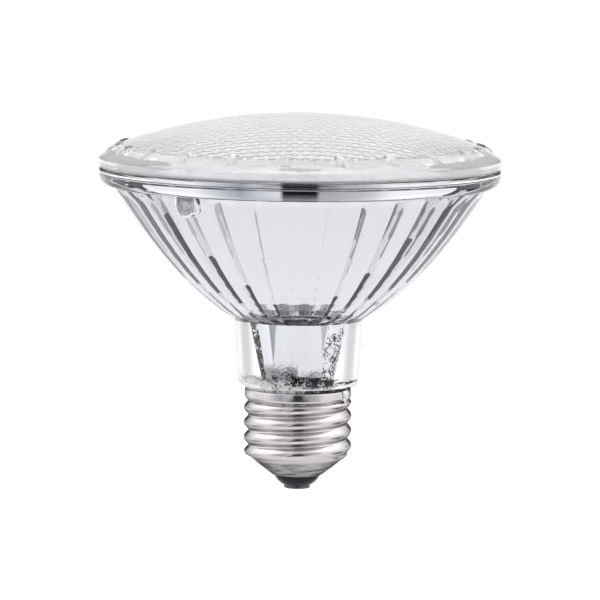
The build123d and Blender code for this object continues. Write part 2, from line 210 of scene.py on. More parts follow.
class LampColours(bpy.types.PropertyGroup):
    """Colours of the materials."""

    lens: colour("Lens", (0.99, 0.993, 0.993), "Clear lens glass")
    haze: colour("Haze", (0.99, 0.99, 0.99), "Light scattered by the lenslets")
    body_glass: colour("Body glass", (0.975, 0.98, 0.99), "Clear glass of the reflector")
    film: colour("Film", (0.90, 0.905, 0.925), "Aluminium film")
    burnt_film: colour("Burnt film", (0.055, 0.045, 0.04), "Places where the film has failed")
    nickel: colour("Nickel", (0.72, 0.69, 0.685), "Nickel plate")
    nickel_edge: colour("Nickel edge", (0.25, 0.25, 0.27), "Nickel plate seen at a flat angle")
    # Cone colour: painted shade, a dark tone standing for the floor in the lamp's shadow that the cone
    # reflects; the duller metal itself is only the cone's higher roughness.
    cone: colour("Cone", (0.15, 0.147, 0.145), "Duller nickel of the cone")
    solder: colour("Solder", (0.86, 0.85, 0.83), "Solder")
    insulator: colour("Insulator", (0.012, 0.014, 0.018), "Black glass insulator")
    # Contact colour: a dark metal tone that makes the end contact look dark.
    contact: colour("Contact", (0.16, 0.165, 0.18), "Tarnished contact")
    frost: colour("Frost", (0.92, 0.92, 0.94), "Rough glass inside the lug")
    cement: colour("Cement", (0.03, 0.028, 0.026), "Burnt basing cement")
    pale_cement: colour("Pale cement", (0.80, 0.79, 0.78), "Basing cement that is not burnt")
    ceramic: colour("Ceramic", (0.78, 0.74, 0.66), "White burner cement")
    seal: colour("Seal", (0.85, 0.85, 0.84), "Pale bead under the lens")
    tungsten: colour("Tungsten", (0.26, 0.26, 0.27), "Filament wire")
    wire: colour("Wire", (0.55, 0.53, 0.50), "Lead wire")
    floor: colour("Floor", (0.70, 0.70, 0.712), "Pale floor, as the lamp reflects it")
    card: colour("Card", (0.10, 0.10, 0.11), "Dark cards beside and behind the lamp")
    body: colour("Body", (0.045, 0.045, 0.05), "Dark camera stand in front of the lamp")
    flag: colour("Flag", (0.16, 0.16, 0.18), "Dark flags on the right and in front of the lamp")
    left_flag: colour("Left flag", (0.40, 0.40, 0.42), "Paler flag on the left of the lamp")
    floor_seen: colour("Floor seen", (1.0, 1.0, 1.0), "Pale floor, as the camera sees it")


class StageSettings(bpy.types.PropertyGroup):
    """Camera, floor and cards."""

    camera_distance: length("Camera distance", 1100.0, "Distance of the camera in front of the axis")
    camera_height: length("Camera height", 165.0, "Height of the camera")
    aim_height: length("Aim height", 45.7, "Height on the axis that the camera looks at")
    aim_side: length("Aim side", 0.3, "Sideways offset of the point that the camera looks at")
    focal: number("Focal length", 275.0, "Focal length in millimetres on a 36 mm sensor")
    roll: degrees("Roll", 0.55, "Roll of the camera")
    floor_height: length("Floor height", -300.0, "Height of the floor")
    floor_size: length("Floor size", 12000.0, "Width of the floor and its reach behind the lamp")
    floor_front: length("Floor front", 520.0, "Reach of the floor in front of the lamp")
    backdrop_start: length("Backdrop start", 900.0, "Distance behind the lamp where the floor turns white")
    backdrop_end: length("Backdrop end", 1500.0, "Distance behind the lamp where the floor is white")
    ceiling_front: number("Ceiling front", 0.45, "Strength of the ceiling in front of the lamp")
    body_start: degrees("Body start", 11.0, "Half width of the dark camera stand")
    body_end: degrees("Body end", 28.0, "Direction where the camera stand has faded out")
    card_start: degrees("Card start", 151.0, "Direction where a card on the wall starts")
    card_end: degrees("Card end", 170.0, "Direction where a card on the wall ends")
    flag_start: degrees("Flag start", 88.0, "Direction where a flag on the floor starts")
    flag_end: degrees("Flag end", 131.0, "Direction where a flag on the floor ends")
    flag_inner: length("Flag inner", 385.0, "Distance of a flag's inner edge from the axis")
    flag_front: degrees("Flag front", 24.0, "Half width of the flag in front of the lamp")
    flag_front_inner: length("Flag front inner", 420.0, "Distance of its inner edge from the axis")
    flag_outer: length("Flag outer", 900.0, "Distance of a flag's outer edge from the axis")
    ceiling: number("Ceiling", 1.7, "Brightness of the soft light overhead")


# Mesh helpers


def ring(radius, height, directions):
    """Points at one radius and height, at directions from the front."""
    turn = directions - math.pi / 2
    radius = np.broadcast_to(radius, turn.shape)
    height = np.broadcast_to(height, turn.shape)
    return np.stack([radius * np.cos(turn), radius * np.sin(turn), height], axis=-1)


def sweep_grid(rows, closed_rows=False):
    """Vertices and quads of a grid whose columns close on themselves."""
    grid = np.asarray(rows)
    row_count, column_count = grid.shape[:2]
    index = np.arange(row_count * column_count).reshape(row_count, column_count)
    if closed_rows:
        index = np.vstack([index, index[:1]])
    low, high = index[:-1], index[1:]
    faces = np.stack([low, np.roll(low, -1, 1), np.roll(high, -1, 1), high], axis=-1)
    return grid.reshape(-1, 3), faces.reshape(-1, 4)


def arc(centre, radius, start, end, steps):
    """Points of an arc in a turned profile, angles in degrees."""
    angles = np.radians(np.linspace(start, end, steps + 1))
    return [(centre[0] + radius * math.cos(a), centre[1] + radius * math.sin(a)) for a in angles]


def straight(start, end, steps):
    """Points of a straight run in a turned profile, without the first."""
    run = np.subtract(end, start)
    return [tuple(np.add(start, run * (i / steps))) for i in range(1, steps + 1)]


def make_object(name, verts, faces, materials, sharp=None, index=None):
    """A smooth mesh object in the scene."""
    mesh = bpy.data.meshes.new(name)
    faces = faces.tolist() if isinstance(faces, np.ndarray) else faces
    mesh.from_pydata(np.asarray(verts).tolist(), [], faces)
    for material in materials:
        mesh.materials.append(material)
    if index is not None:
        mesh.polygons.foreach_set("material_index", np.asarray(index, dtype=np.int32))
    mesh.shade_smooth()
    if sharp is not None:
        mesh.set_sharp_from_angle(angle=math.radians(sharp))
    mesh.update()
    piece = bpy.data.objects.new(name, mesh)
    bpy.context.scene.collection.objects.link(piece)
    return piece


def turned_object(name, profile, materials, segments=128, sharp=None, closed=False):
    """An object turned from a profile of radius and height in metres."""
    directions = np.linspace(0, 2 * math.pi, segments, endpoint=False)
    rows = [ring(radius, height, directions) for radius, height in profile]
    verts, faces = sweep_grid(rows, closed_rows=closed)
    return make_object(name, verts, faces, materials, sharp)


def dress(piece, node):
    """Ties a piece to the body and hides the node that it stands for."""
    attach(piece, "root")
    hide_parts(node)


def coat(node, material):
    """Gives its material to a solid that shows as it is."""
    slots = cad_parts[node].data.materials
    slots.clear()
    slots.append(material)


# Material helpers


def new_material(name):
    """A material with its shader, node tree and links at hand."""
    material = bpy.data.materials.new(name)
    material.use_nodes = True
    tree = material.node_tree
    return material, tree, tree.nodes["Principled BSDF"]


def noise(tree, scale, detail=3.0, roughness=0.5):
    """A noise texture in object space."""
    place = tree.nodes.new("ShaderNodeTexCoord")
    texture = tree.nodes.new("ShaderNodeTexNoise")
    texture.inputs["Scale"].default_value = scale
    texture.inputs["Detail"].default_value = detail
    texture.inputs["Roughness"].default_value = roughness
    tree.links.new(place.outputs["Object"], texture.inputs["Vector"])
    return texture.outputs["Fac"]


def spread(tree, value, low, high, to_low, to_high):
    """Maps a range of a value to another, clamped."""
    node = tree.nodes.new("ShaderNodeMapRange")
    node.inputs["From Min"].default_value = low
    node.inputs["From Max"].default_value = high
    node.inputs["To Min"].default_value = to_low
    node.inputs["To Max"].default_value = to_high
    tree.links.new(value, node.inputs["Value"])
    return node.outputs["Result"]


def calculate(tree, operation, first, second=None):
    """A math node on sockets or plain numbers."""
    node = tree.nodes.new("ShaderNodeMath")
    node.operation = operation
    for socket, value in zip(node.inputs, (first, second)):
        if isinstance(value, (int, float)):
            socket.default_value = value
        elif value is not None:
            tree.links.new(value, socket)
    return node.outputs["Value"]


def blend_colour(tree, factor, first, second):
    """Mixes two colours, or the sockets that give them, by a factor."""
    node = tree.nodes.new("ShaderNodeMix")
    node.data_type = "RGBA"
    for name, value in (("A", first), ("B", second)):
        if isinstance(value, bpy.types.NodeSocket):
            tree.links.new(value, node.inputs[name])
        else:
            node.inputs[name].default_value = (*value, 1)
    tree.links.new(factor, node.inputs["Factor"])
    return node.outputs["Result"]


def bump(tree, shader, height, strength, distance):
    """Bump on a shader from a height value."""
    node = tree.nodes.new("ShaderNodeBump")
    node.inputs["Strength"].default_value = strength
    node.inputs["Distance"].default_value = distance
    tree.links.new(height, node.inputs["Height"])
    tree.links.new(node.outputs["Normal"], shader.inputs["Normal"])


def position(tree, space="Object"):
    """Sockets with the X, Y and Z of the place that is shaded."""
    place = tree.nodes.new("ShaderNodeTexCoord")
    split = tree.nodes.new("ShaderNodeSeparateXYZ")
    tree.links.new(place.outputs[space], split.inputs["Vector"])
    return split.outputs["X"], split.outputs["Y"], split.outputs["Z"]


def diffuse(tree, tint):
    """Output of a shader that scatters its light."""
    node = tree.nodes.new("ShaderNodeBsdfDiffuse")
    node.inputs["Color"].default_value = (*tint, 1)
    return node.outputs["BSDF"]


def mix_shaders(tree, factor, first, second):
    """Mixes the outputs of two shaders by a number or a socket."""
    node = tree.nodes.new("ShaderNodeMixShader")
    if isinstance(factor, bpy.types.NodeSocket):
        tree.links.new(factor, node.inputs["Fac"])
    else:
        node.inputs["Fac"].default_value = factor
    tree.links.new(first, node.inputs[1])
    tree.links.new(second, node.inputs[2])
    return node.outputs["Shader"]


def shade(value, factor):
    """A colour made lighter or darker."""
    return tuple(min(1.0, channel * factor) for channel in value)


def glass_material(name, tint, ior=1.5, wave=0.0):
    """Clear glass with faint ripples from the mould."""
    material, tree, shader = new_material(name)
    shader.inputs["Base Color"].default_value = (*tint, 1)
    shader.inputs["Roughness"].default_value = 0.0
    shader.inputs["IOR"].default_value = ior
    shader.inputs["Transmission Weight"].default_value = 1.0
    if wave:
        bump(tree, shader, noise(tree, 90.0, 2.0), wave, 0.0004)
    return material


def metal_material(name, tint, rough, grain=900.0, dull=1.35, bumps=0.05):
    """Metal with fine variation in colour and roughness."""
    material, tree, shader = new_material(name)
    shader.inputs["Metallic"].default_value = 1.0
    patches = noise(tree, grain * 0.2, 4.0)
    shade_factor = spread(tree, patches, 0.35, 0.7, 0.0, 1.0)
    tree.links.new(blend_colour(tree, shade_factor, shade(tint, 0.88), tint), shader.inputs["Base Color"])
    tree.links.new(spread(tree, patches, 0.3, 0.7, rough * dull, rough), shader.inputs["Roughness"])
    bump(tree, shader, noise(tree, grain, 2.0), bumps, 0.0001)
    return material


def dull_material(name, tint, rough, grain=1500.0, contrast=0.7, bumps=0.3):
    """Matt material with grain."""
    material, tree, shader = new_material(name)
    grains = noise(tree, grain, 5.0, 0.6)
    factor = spread(tree, grains, 0.3, 0.7, 0.0, 1.0)
    tree.links.new(blend_colour(tree, factor, shade(tint, contrast), tint), shader.inputs["Base Color"])
    tree.links.new(spread(tree, grains, 0.3, 0.7, rough * 0.85, rough), shader.inputs["Roughness"])
    bump(tree, shader, grains, bumps, 0.0002)
    return material


class LAMP_OT_lens(bpy.types.Operator):
    """Builds the pressed lens with its nubs outside and its lenslets inside"""

    bl_idname = "lamp.lens"
    bl_label = "Front lens"

    def execute(self, context):
        s = context.scene.lamp_lens
        colours = context.scene.lamp_colours
        clear = glass_material("lens_glass", colours.lens, wave=0.02)
        bead = dull_material("lens_bead", colours.seal, 0.6)
        hazy = self.hazy_glass("lens_stipple", s.haze, colours, s.crown_haze)
        rim = self.hazy_glass("lens_rim", s.rim_haze, colours)
        shoulder = s.radius - s.chamfer_width
        chamfer = s.bottom + s.wall_height
        dome_foot = chamfer + s.chamfer_height
        dome_radius = (shoulder**2 + s.dome_rise**2) / (2 * s.dome_rise)
        apex = dome_foot + s.dome_rise
        directions = self.columns(s)
        profile = self.outline(s, shoulder, chamfer, dome_foot, dome_radius, apex)
        rows = [self.lifted(s, ring(r, z, directions), shoulder, dome_foot) for r, z in profile]
        inner, inner_faces, crowns = self.stipple(s, dome_radius, apex, directions)
        columns = len(directions)
        verts, faces = sweep_grid([inner[:columns]] + rows)
        verts = np.vstack([verts, inner[columns:]])
        shift = len(verts) - len(inner)
        index = np.zeros(len(faces) + len(inner_faces), dtype=int)
        rim_start = (1 + SEAT_STEPS) * columns
        rim_end = rim_start + (FOOT_STEPS + WALL_STEPS + EDGE_STEPS + SLOPE_STEPS) * columns
        index[columns:rim_start] = 1
        index[rim_start:rim_end] = 3
        index[len(faces) :] = 2
        faces = faces.tolist() + [[i if i < columns else i + shift for i in face] for face in inner_faces]
        piece = make_object("lens_pressed", verts, faces, [clear, bead, hazy, rim], sharp=25, index=index)
        crown = piece.data.attributes.new("crown", "FLOAT", "POINT")
        values = np.zeros(len(verts))
        values[:columns] = crowns[:columns]
        values[len(verts) - len(inner) + columns :] = crowns[columns:]
        crown.data.foreach_set("value", values)
        dress(piece, "front_lens")
        return {"FINISHED"}

    def hazy_glass(self, name, share, colours, crown_share=None):
        """Pressed glass that scatters a share of the light, and another at its lenslets' crowns."""
        material = glass_material(name, colours.lens)
        tree = material.node_tree
        factor = share
        if crown_share is not None:
            crown = tree.nodes.new("ShaderNodeAttribute")
            crown.attribute_name = "crown"
            factor = spread(tree, crown.outputs["Fac"], 0.15, 0.6, share, crown_share)
        clear = tree.nodes["Principled BSDF"].outputs["BSDF"]
        both = mix_shaders(tree, factor, clear, diffuse(tree, colours.haze))
        tree.links.new(both, tree.nodes["Material Output"].inputs["Surface"])
        return material

    def columns(self, s):
        """Directions that crowd together at each nub."""
        step = 2 * math.pi / s.nub_count
        half = 0.7 * s.nub_width / (s.radius - s.chamfer_width)
        inside = np.linspace(-half, half, 13)
        outside = np.linspace(half, step - half, 9)[1:-1]
        sector = np.concatenate([inside, outside])
        return np.concatenate([s.nub_direction + i * step + sector for i in range(s.nub_count)])

    def outline(self, s, shoulder, chamfer, dome_foot, dome_radius, apex):
        """Profile from the seat round the rim and over the dome to the axis."""
        edge = s.edge_round
        slope = math.atan2(s.chamfer_height, s.chamfer_width)
        points = [(s.seat_radius, s.bottom)]
        foot = s.foot_round
        points += straight(points[-1], (s.radius - foot, s.bottom), SEAT_STEPS)
        points += arc((s.radius - foot, s.bottom + foot), foot, -90, 0, FOOT_STEPS)[1:]
        lower = (s.radius, chamfer - edge * 0.6)
        points += straight(points[-1], lower, WALL_STEPS)
        upper = (s.radius - edge * 0.9 * math.cos(slope), chamfer + edge * 0.6 * math.sin(slope))
        points += straight(lower, upper, EDGE_STEPS)
        points += straight(upper, (shoulder, dome_foot), SLOPE_STEPS)
        tilt = math.asin(shoulder / dome_radius)
        fine = np.linspace(tilt, math.asin((shoulder - s.nub_length) / dome_radius), 17)[1:]
        coarse = np.linspace(fine[-1], 0.0, 26)[1:]
        for angle in np.concatenate([fine, coarse]):
            radius = max(dome_radius * math.sin(angle), 1e-6)
            points.append((radius, apex - dome_radius * (1 - math.cos(angle))))
        return points

    def lifted(self, s, points, shoulder, dome_foot):
        """Raises the points that lie under a nub."""
        radius = np.hypot(points[:, 0], points[:, 1])
        turn = np.arctan2(points[:, 1], points[:, 0]) + math.pi / 2 - s.nub_direction
        step = 2 * math.pi / s.nub_count
        across = (turn + step / 2) % step - step / 2
        side = across * radius / (s.nub_width / 2)
        along = (radius - shoulder) / (s.nub_length / 2 * 0.9)
        body = np.clip(1 - np.abs(side) ** 2.5, 0, 1) * np.clip(1 - np.abs(along) ** 4, 0, 1)
        lift = s.nub_height * np.sqrt(body)
        lift[points[:, 2] < dome_foot - s.chamfer_height * 0.98] = 0
        out = points.copy()
        out[:, 2] += lift * 0.9
        return out

    def stipple(self, s, dome_radius, apex, directions):
        """Inner face: a fine triangular lattice of points that ends at the seat's ring of columns."""
        fine = s.stipple_pitch / s.stipple_steps
        row_height = fine * math.sqrt(3) / 2
        limit = s.seat_radius - 0.7 * fine
        reach = int(s.seat_radius / row_height) + 2
        row, col = np.meshgrid(np.arange(-reach, reach + 1), np.arange(-reach, reach + 1), indexing="ij")
        lattice = np.column_stack([((col + 0.5 * (row % 2)) * fine).ravel(), (row * row_height).ravel()])
        lattice = lattice[np.hypot(lattice[:, 0], lattice[:, 1]) < limit]
        flat = np.vstack([ring(s.seat_radius, 0.0, directions)[:, :2], lattice])
        faces = delaunay_2d_cdt([Vector(point) for point in flat.tolist()], [], [], 0, 1e-9)[2]
        radius = np.hypot(flat[:, 0], flat[:, 1])
        crowns = self.lenslets(s, flat, radius)
        height = self.inner_height(s, dome_radius, apex, radius) - s.stipple_depth * crowns
        return np.column_stack([flat, height]), [tuple(face[::-1]) for face in faces], crowns

    def inner_height(self, s, dome_radius, apex, radius):
        """Height of the lens's inner dome, without its lenslets."""
        return apex - dome_radius + np.sqrt((dome_radius - s.thickness) ** 2 - radius**2)

    def lenslets(self, s, flat, radius):
        """Height of the lenslets: three crossed waves, which make soft bumps on a hexagonal lattice."""
        wave = 4 * math.pi / (math.sqrt(3) * s.stipple_pitch)
        total = np.zeros(len(flat))
        for angle in (90, 210, 330):
            turn = math.radians(angle)
            total += np.cos(wave * (flat[:, 0] * math.cos(turn) + flat[:, 1] * math.sin(turn)))
        dome = (total / 3 + 0.5) / 1.5
        fade = np.clip((s.stipple_radius - radius) / (0.4 * s.stipple_pitch), 0, 1)
        return dome * fade


class LAMP_OT_reflector(bpy.types.Operator):
    """Builds the glass body with its pillow mirror, neck and bore"""

    bl_idname = "lamp.reflector"
    bl_label = "Silvered reflector"

    def execute(self, context):
        s = context.scene.lamp_reflector
        colours = context.scene.lamp_colours
        columns = s.flute_count * s.facet_steps
        directions = s.flute_direction + np.linspace(0, 2 * math.pi, columns, endpoint=False)
        outer = self.outside(s)
        rows = [ring(r, z, directions) for r, z in outer]
        mirror_start = len(rows)
        rows += self.inside(s, directions)
        verts, faces = sweep_grid(rows, closed_rows=True)
        index = np.zeros((len(rows), columns), dtype=int)
        index[mirror_start - 1 : -1] = 1
        glass = glass_material("silvered_glass", colours.body_glass, wave=0.03)
        self.rough_foot(glass, s, colours)
        film = self.film_material(s, colours)
        piece = make_object("reflector_pressed", verts, faces, [glass, film], sharp=9, index=index.ravel())
        dress(piece, "reflector")
        self.lug(s, glass, dull_material("lug_frost", colours.frost, 0.3, 900.0, 0.5, 0.8))
        return {"FINISHED"}

    def lug(self, s, glass, rough):
        """Moulded tab under the flange, with rough glass inside its rounded outline."""
        steps = 24
        half = s.lug_width / 2
        flange = s.bowl_bottom + s.bowl_height
        top = flange + 0.0006
        foot = flange - s.lug_drop + half
        outline = [(half, top), (half, foot)]
        turns = np.linspace(0, math.pi, steps)[1:]
        outline += [(half * math.cos(a), foot - half * math.sin(a)) for a in turns]
        outline += [(-half, top)]
        centre = foot + 0.0008
        rows = []
        for depth, shrink in LUG_RINGS:
            row = []
            for across, height in outline:
                place = (across * shrink, centre + (height - centre) * shrink)
                ripple = 0.00016 * math.sin(place[0] * 9000 + place[1] * 4000) if shrink < 0.8 else 0.0
                row.append((place[0], -(s.lug_radius + depth + ripple), place[1]))
            rows.append(row)
        verts, faces = sweep_grid(rows)
        count = len(outline)
        cap = [tuple(range(len(verts) - count, len(verts)))]
        spin = np.array(Matrix.Rotation(s.lug_direction, 3, "Z"))
        index = np.zeros(len(faces) + 1, dtype=int)
        index[-2 * count - 1 :] = 1
        faces = faces.tolist() + cap
        verts = np.asarray(verts) @ spin.T
        piece = make_object("reflector_lug", verts, faces, [glass, rough], sharp=30, index=index)
        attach(piece, "root")

    def rise(self, s, radius):
        """Height of the bowl's outer parabola over its foot."""
        span = s.bowl_top_radius**2 - s.bowl_foot_radius**2
        return s.bowl_height * (radius**2 - s.bowl_foot_radius**2) / span

    def slope(self, s, radius):
        """Steepness of the parabola, as an angle."""
        span = s.bowl_top_radius**2 - s.bowl_foot_radius**2
        return math.atan(2 * radius * s.bowl_height / span)

    def outside(self, s):
        """Outer profile from the spigot's lower end to the mouth."""
        foot = s.neck_foot_round
        flange = s.bowl_bottom + s.bowl_height
        top = flange + s.flange_height
        under = s.flange_round
        edge = s.flange_edge
        points = [(s.spigot_radius, s.spigot_bottom)]
        points += straight(points[-1], (s.spigot_radius, s.neck_bottom), 4)
        points += straight(points[-1], (s.neck_foot_radius - foot, s.neck_bottom), 3)
        points += arc((s.neck_foot_radius - foot, s.neck_bottom + foot), foot, -90, 0, 8)[1:]
        neck_top = (s.neck_top_radius, s.bowl_bottom - s.bowl_foot_step)
        points += straight(points[-1], neck_top, 8)
        radii = np.linspace(s.bowl_foot_radius, s.bowl_top_radius, 40)
        points += [(r, s.bowl_bottom + self.rise(s, r)) for r in radii]
        points += straight(points[-1], (s.flange_radius - under, flange), 1)
        points += arc((s.flange_radius - under, flange + under), under, -90, 0, 14)[1:]
        points += straight(points[-1], (s.flange_radius, top - edge), 3)
        points += arc((s.flange_radius - edge, top - edge), edge, 0, 90, 4)[1:]
        points += straight(points[-1], (s.mouth_radius + s.mouth_flare, top), 3)
        return points

    def collar(self, s):
        """Profile of the upright collar under its upper edge: flare, then a small bead."""
        top = s.bowl_bottom + s.bowl_height + s.flange_height
        points = [(s.mouth_radius, top - s.mouth_flare_height)]
        for share in np.linspace(-1, 1, 9):
            proud = s.bead_proud * (1 - share**2)
            points.append((s.mouth_radius + proud, top - s.bead_drop - share * s.bead_height / 2))
        return points

    def inside(self, s, directions):
        """Rows of the silvered face from the collar down to the bore's foot."""
        count = s.facet_steps
        rows = [ring(radius, height, directions) for radius, height in self.collar(s)]
        across = (np.arange(len(directions)) % count) / count * 2 - 1
        across = np.where(np.arange(len(directions)) % count == 0, -1.0, across)
        radii = s.row_top_radius * s.row_ratio ** np.arange(s.row_count + 1)
        radii = np.concatenate([[s.bowl_top_radius], radii])
        for row in range(s.row_count + 1):
            for step in range(count):
                share = step / count
                outer = radii[row] + (radii[row + 1] - radii[row]) * share
                slope = self.slope(s, outer)
                half_width = outer * math.pi / s.flute_count
                half_height = (radii[row] - radii[row + 1]) / 2 / math.cos(slope)
                bulge = 0.5 * math.tan(s.flute_tilt) * half_width * (1 - across**2)
                bulge = bulge + 0.5 * math.tan(s.row_tilt) * half_height * (1 - (2 * share - 1) ** 2)
                if row == 0:
                    bulge = bulge * math.sin(share * math.pi / 2)
                depth = s.bowl_wall + bulge
                radius = outer - depth * math.sin(slope)
                height = s.bowl_bottom + self.rise(s, outer) + depth * math.cos(slope)
                rows.append(ring(radius, height, directions))
        last = radii[-1]
        slope = self.slope(s, last)
        throat_radius = last - s.bowl_wall * math.sin(slope)
        throat = s.bowl_bottom + self.rise(s, last) + s.bowl_wall * math.cos(slope)
        rows.append(ring(throat_radius, throat, directions))
        half = math.pi / s.bore_sides
        corner = np.cos(half) / np.cos(directions % (2 * half) - half)
        for share in np.linspace(0, 1, 14):
            radius = s.bore_top_radius + (s.bore_foot_radius - s.bore_top_radius) * share
            height = throat + (s.neck_bottom - throat) * share
            rows.append(ring(radius * corner + s.film_gap, height, directions))
        rows.append(ring(s.bore_foot_radius * corner + s.film_gap, s.spigot_bottom, directions))
        return rows

    def film_material(self, s, colours):
        """Bright film that is speckled and burnt near the neck's foot."""
        material, tree, shader = new_material("aluminium_film")
        shader.inputs["Metallic"].default_value = 1.0
        shader.inputs["Roughness"].default_value = 0.02
        bright = shader.outputs["BSDF"]
        satin = diffuse(tree, colours.film)
        inside = mix_shaders(tree, s.film_satin_inside, bright, satin)
        outside = mix_shaders(tree, self.satin_share(tree, s), bright, satin)
        side = tree.nodes.new("ShaderNodeNewGeometry")
        both = mix_shaders(tree, side.outputs["Backfacing"], inside, outside)
        tree.links.new(both, tree.nodes["Material Output"].inputs["Surface"])
        tint = blend_colour(tree, self.wear(tree, s), colours.film, colours.burnt_film)
        tree.links.new(tint, shader.inputs["Base Color"])
        return material

    def satin_share(self, tree, s):
        """How much of its light the film scatters: none in the collar, less towards the bowl's foot."""
        height = position(tree)[2]
        flange = s.bowl_bottom + s.bowl_height
        share = spread(tree, height, s.bowl_bottom + 0.004, flange - 0.003, s.film_satin_foot, s.film_satin)
        below = spread(tree, height, flange - 0.0012, flange - 0.0004, 1.0, 0.0)
        return calculate(tree, "MULTIPLY", share, below)

    def rough_foot(self, glass, s, colours):
        """Roughens the glass at the neck's foot in pale grains, more on the left."""
        tree = glass.node_tree
        output = tree.nodes["Material Output"].inputs["Surface"]
        clear = output.links[0].from_socket
        both = mix_shaders(tree, self.frost(tree, s), clear, diffuse(tree, colours.haze))
        tree.links.new(both, output)

    def frost(self, tree, s):
        """Where the neck's foot is rough, as grains that thin out upwards and to the right."""
        side, _, height = position(tree)
        lean = calculate(tree, "MULTIPLY", side, -18.0)
        grains = calculate(tree, "ADD", noise(tree, 330.0, 3.0, 0.6), noise(tree, 2200.0, 2.0, 0.6))
        low = spread(tree, height, s.neck_bottom + 0.001, s.neck_bottom + 0.006, 0.0, 0.3)
        left = calculate(tree, "SUBTRACT", calculate(tree, "ADD", grains, lean), low)
        near = spread(tree, height, s.neck_bottom + 0.0018, s.neck_bottom + 0.0040, 0.8, 0.0)
        return calculate(tree, "MULTIPLY", spread(tree, left, 0.94, 1.10, 0.0, 1.0), near)

    def wear(self, tree, s):
        """How far the film has failed: patches by direction and height, broken up by two grains."""
        side, back, up = position(tree)
        turn = calculate(tree, "ARCTAN2", side, calculate(tree, "MULTIPLY", back, -1.0))
        height = calculate(tree, "SUBTRACT", up, s.neck_bottom)
        total = None
        for direction, width, low, high, strength in WEAR_PATCHES:
            away = calculate(tree, "ABSOLUTE", calculate(tree, "SUBTRACT", turn, math.radians(direction)))
            across = spread(tree, away, math.radians(width * 0.7), math.radians(width), strength, 0.0)
            along = spread(tree, height, low, high, 1.0, 0.0)
            patch = calculate(tree, "MULTIPLY", across, along)
            total = patch if total is None else calculate(tree, "MAXIMUM", total, patch)
        grains = calculate(tree, "ADD", noise(tree, 380.0, 4.0, 0.6), noise(tree, 2300.0, 2.0, 0.6))
        left = calculate(tree, "SUBTRACT", total, calculate(tree, "SUBTRACT", grains, 1.0))
        return spread(tree, left, 0.46, 0.56, 0.0, 1.0)


